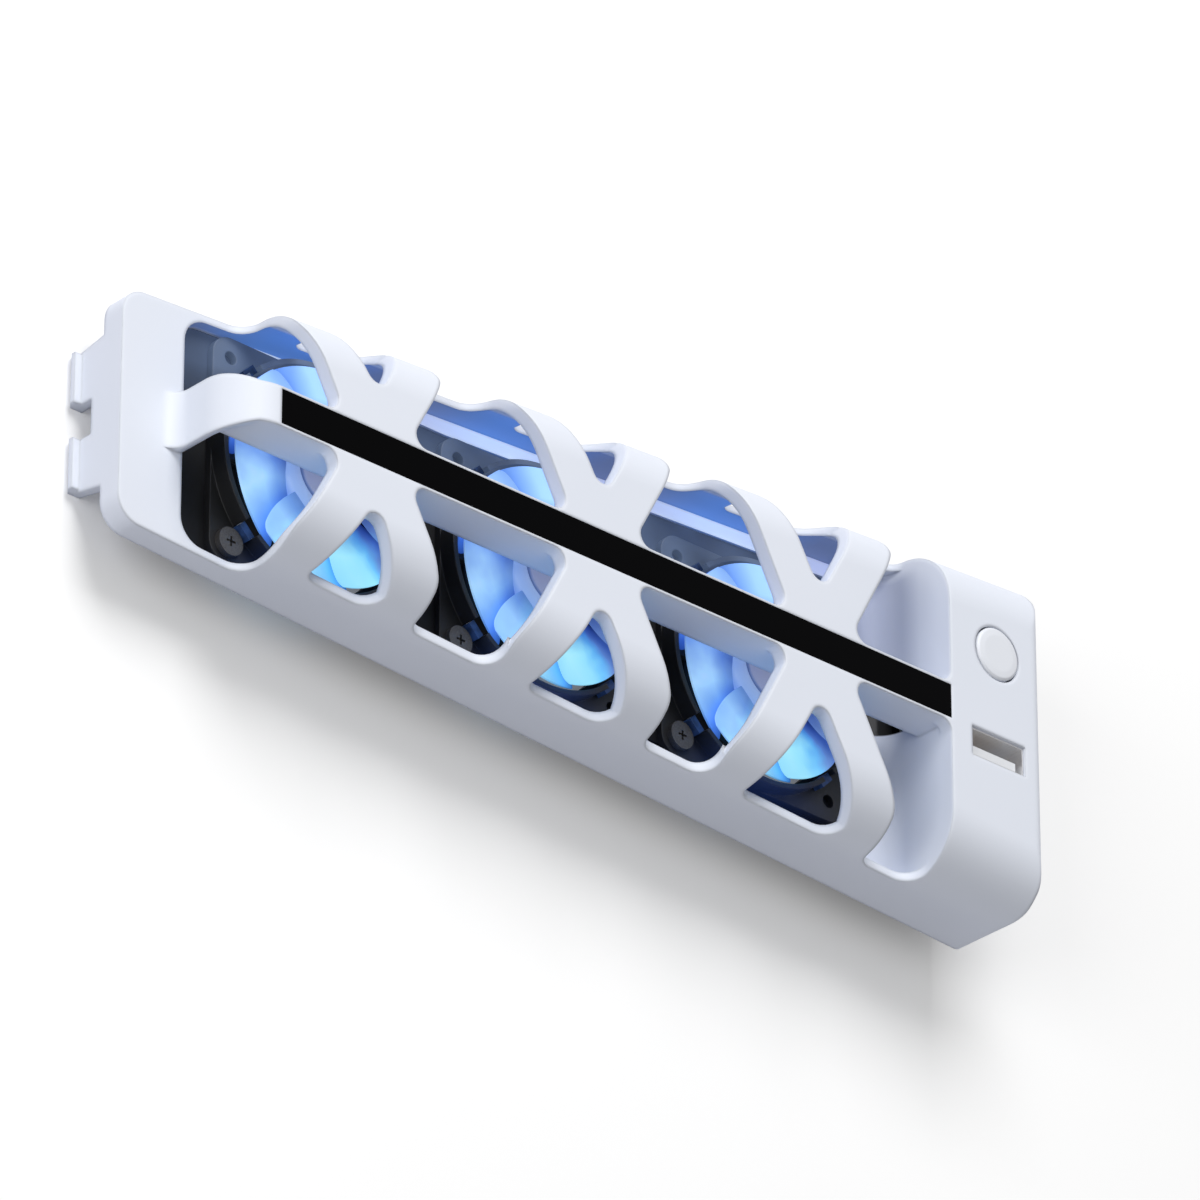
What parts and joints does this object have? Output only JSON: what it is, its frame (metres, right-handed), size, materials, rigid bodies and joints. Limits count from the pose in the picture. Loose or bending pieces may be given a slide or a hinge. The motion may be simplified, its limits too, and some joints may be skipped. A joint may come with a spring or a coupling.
{
  "type": "clip-on console cooling fan",
  "caption": "Tapered white bar with caged fans, black spine strip, push button and pass-through socket, hooking onto a console's rear vents to draw hot air out.",
  "frame": {"origin": "centre of the bar's footprint on the surface it lies on, under the hook tips", "axes": "+X along the bar from the narrow flange end to the button end, +Y up as it is worn on the console, +Z out of the grille"},
  "size_m": [0.2092, 0.07, 0.0305],
  "materials": {
    "white_shell": "satin moulded white",
    "black_back": "satin moulded black",
    "black_gloss": "piano black",
    "black_frame": "fine black texture",
    "clear_rotor": "frosted clear, lit blue from the rim",
    "steel": "bright zinc",
    "bronze": "sintered bronze",
    "ferrite": "bonded ferrite",
    "core_steel": "laminated core",
    "copper": "enamelled copper wire",
    "board_green": "green solder mask",
    "led_lens": "blue light emitter",
    "screw_brass": "browned zinc",
    "black_ribbon": "flat cable sheath",
    "white_button": "satin moulded white",
    "black_switch": "moulded black",
    "grey_plunger": "moulded grey",
    "nickel_shell": "nickel plate",
    "white_insulator": "moulded white",
    "gold_contact": "gold flash"
  },
  "bodies": {
    "housing": {"front_cover": "white_shell", "spine_inlay": "black_gloss", "rear_base": "black_back", "fan_frame_1": "black_frame", "fan_frame_2": "black_frame", "fan_frame_3": "black_frame", "bearing_1": "bronze", "bearing_2": "bronze", "bearing_3": "bronze", "stator_1": "core_steel", "stator_2": "core_steel", "stator_3": "core_steel", "coils_1": "copper", "coils_2": "copper", "coils_3": "copper", "fan_board_1": "board_green", "fan_board_2": "board_green", "fan_board_3": "board_green", "leds_1": "led_lens", "leds_2": "led_lens", "leds_3": "led_lens", "fan_screws": "screw_brass", "cover_screws": "steel", "board_screws": "steel", "main_board": "board_green", "power_ribbon": "black_ribbon", "switch_body": "black_switch", "port_shell": "nickel_shell", "port_tongue": "white_insulator", "port_contacts": "gold_contact", "plug_shell": "nickel_shell", "plug_tongue": "white_insulator", "plug_contacts": "gold_contact"},
    "rotor_1": {"rotor_1": "clear_rotor", "shaft_1": "steel", "magnet_1": "ferrite"},
    "rotor_2": {"rotor_2": "clear_rotor", "shaft_2": "steel", "magnet_2": "ferrite"},
    "rotor_3": {"rotor_3": "clear_rotor", "shaft_3": "steel", "magnet_3": "ferrite"},
    "button": {"button_cap": "white_button", "switch_plunger": "grey_plunger"}
  },
  "joints": [
    {"name": "fan_1_spin", "type": "hinge", "parent": "housing", "child": "rotor_1", "pos_m": [-0.05913, 0, 0.0144], "axis": [0, 0, 1], "continuous": true},
    {"name": "fan_2_spin", "type": "hinge", "parent": "housing", "child": "rotor_2", "pos_m": [-0.00609, 0, 0.0144], "axis": [0, 0, 1], "continuous": true},
    {"name": "fan_3_spin", "type": "hinge", "parent": "housing", "child": "rotor_3", "pos_m": [0.04695, 0, 0.0144], "axis": [0, 0, 1], "continuous": true},
    {"name": "button_press", "type": "slide", "parent": "housing", "child": "button", "axis": [0, 0, -1], "range_m": [0, 0.0007], "stiffness_N_per_m": 1500}
  ]
}
